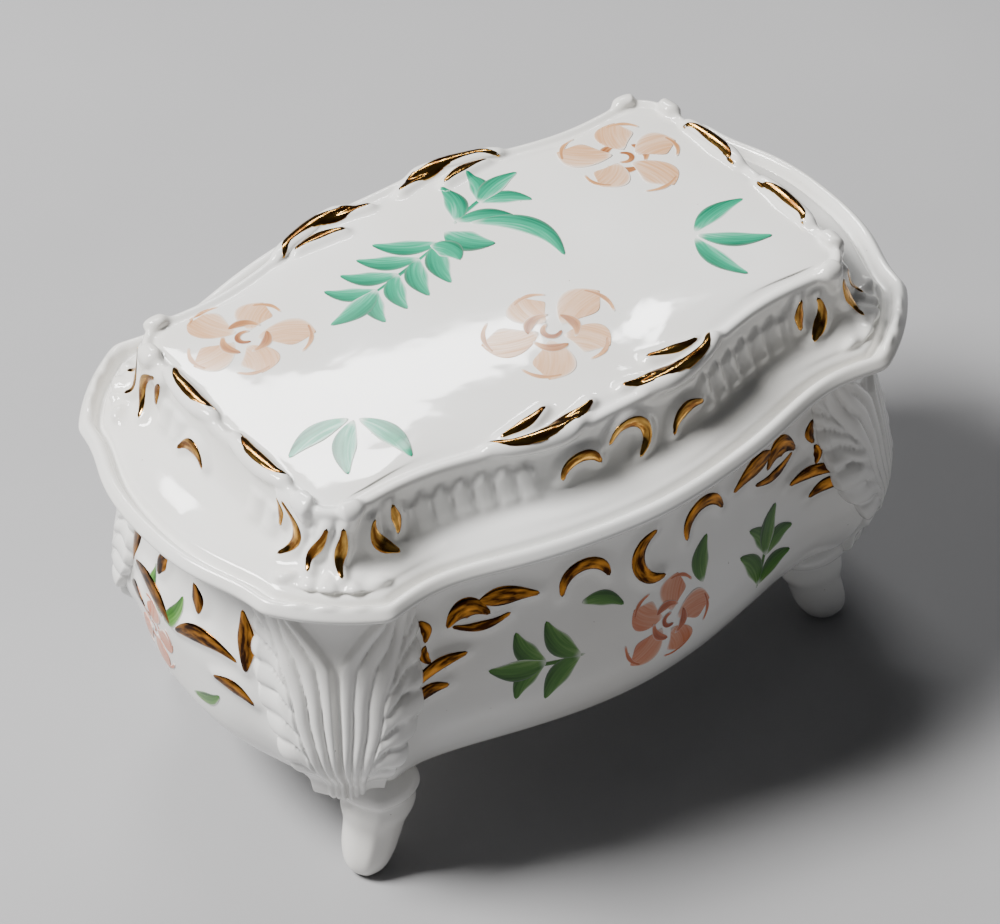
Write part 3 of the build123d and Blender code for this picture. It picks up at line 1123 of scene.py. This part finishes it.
# ---- assembly ---------------------------------------------------------------
def dress(piece, finish, body, slot_name, *nodes):
    """Give a piece its finish and its body, and hide the CAD nodes it stands for; slot_name is not
    used.
    """
    piece.data.materials.append(finish)
    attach(piece, body)
    if nodes:
        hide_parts(*nodes)


def build():
    """Make every piece of the box and its lid."""
    white = porcelain("white_glaze")
    # The brown tone of each gold is partly burnt, patchy gold and partly painted dark reflection.
    gold = gilding("burnished_gold", (0.16, 0.062, 0.012), (0.78, 0.45, 0.11))
    # The box's gold is a darker copy of the lid's gold: painted shade on the box's gilding.
    gold_with_painted_shade = gilding("gold_with_painted_shade", (0.030, 0.009, 0.002), (0.50, 0.21, 0.035))
    teal = enamel("teal_enamel", (0.33, 0.70, 0.56), (0.015, 0.34, 0.19), (0.0, 0.11, 0.055))
    olive = enamel("olive_enamel", (0.25, 0.43, 0.13), (0.07, 0.21, 0.03), (0.012, 0.07, 0.008))
    tan = enamel("tan_enamel", (0.79, 0.58, 0.43), (0.60, 0.31, 0.14), (0.25, 0.075, 0.02))
    coral = enamel("coral_enamel", (0.74, 0.42, 0.30), (0.62, 0.20, 0.10), (0.34, 0.07, 0.03))

    plain_lid = bare_lid()
    plain_body = section_grid(BODY_SECTION)
    lid_gilding = lid_gold(surface_tree(plain_lid))
    body_gilding = body_gold(surface_tree(plain_body))
    lid_grid = lid_surface(plain_lid, lid_gilding)
    body_grid = body_surface(plain_body, body_gilding)
    lid_tree = surface_tree(lid_grid)
    body_tree = surface_tree(body_grid)

    dress(closed_form("lid_porcelain", lid_grid), white, "lid", "lid_glaze", "lid_shell")
    ring = swept_ring("lid_ring_porcelain", RING_SECTION)
    dress(ring, white, "lid", "lid_glaze", "lid_locating_ring")
    dress(closed_form("body_porcelain", body_grid), white, "box", "body_glaze", "box_body")
    for place, spoke in CORNERS.items():
        side, end = place.split("_")
        node_end = side + "_" + end
        leaf = corner_leaf("leaf_" + node_end, body_grid, spoke)
        dress(leaf, white, "box", "leaf_glaze", "corner_leaf_" + node_end)
        mirror_x = 1 if end == "right" else -1
        mirror_y = 1 if side == "back" else -1
        toe = foot("toe_" + node_end, FOOT_TIPS[node_end], mirror_x, mirror_y)
        dress(toe, white, "box", "foot_glaze", "foot_" + node_end)

    dress(lay_gold("lid_gilding", lid_tree, lid_gilding), gold, "lid", "gilding")
    # The box gilding takes the darker gold copy, with its painted shade.
    dress(lay_gold("box_gilding", body_tree, body_gilding), gold_with_painted_shade, "box", "gilding")
    leaves = painted(lid_tree, "panel", lid_leaves())
    dress(lay_paint("lid_leaves", lid_tree, leaves, (1,)), teal, "lid", "green_enamel")
    roses = painted(lid_tree, "panel", lid_roses())
    dress(lay_paint("lid_roses", lid_tree, roses, (1,)), tan, "lid", "rose_enamel")
    leaves = painted(body_tree, "front", front_leaves()) + painted(body_tree, "end", end_leaves())
    dress(lay_paint("box_leaves", body_tree, leaves, (1, -1)), olive, "box", "green_enamel")
    roses = painted(body_tree, "front", rose((3, 46), 11, 60))
    roses += painted(body_tree, "end", rose((11, 44), 9, 20))
    dress(lay_paint("box_roses", body_tree, roses, (1, -1)), coral, "box", "rose_enamel")


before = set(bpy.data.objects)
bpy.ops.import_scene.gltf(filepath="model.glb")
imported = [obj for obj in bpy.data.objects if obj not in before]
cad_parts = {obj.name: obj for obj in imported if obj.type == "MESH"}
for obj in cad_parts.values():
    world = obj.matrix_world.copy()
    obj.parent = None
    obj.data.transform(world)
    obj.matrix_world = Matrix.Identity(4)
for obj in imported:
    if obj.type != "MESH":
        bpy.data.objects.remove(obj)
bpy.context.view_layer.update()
build()
studio()
camera()
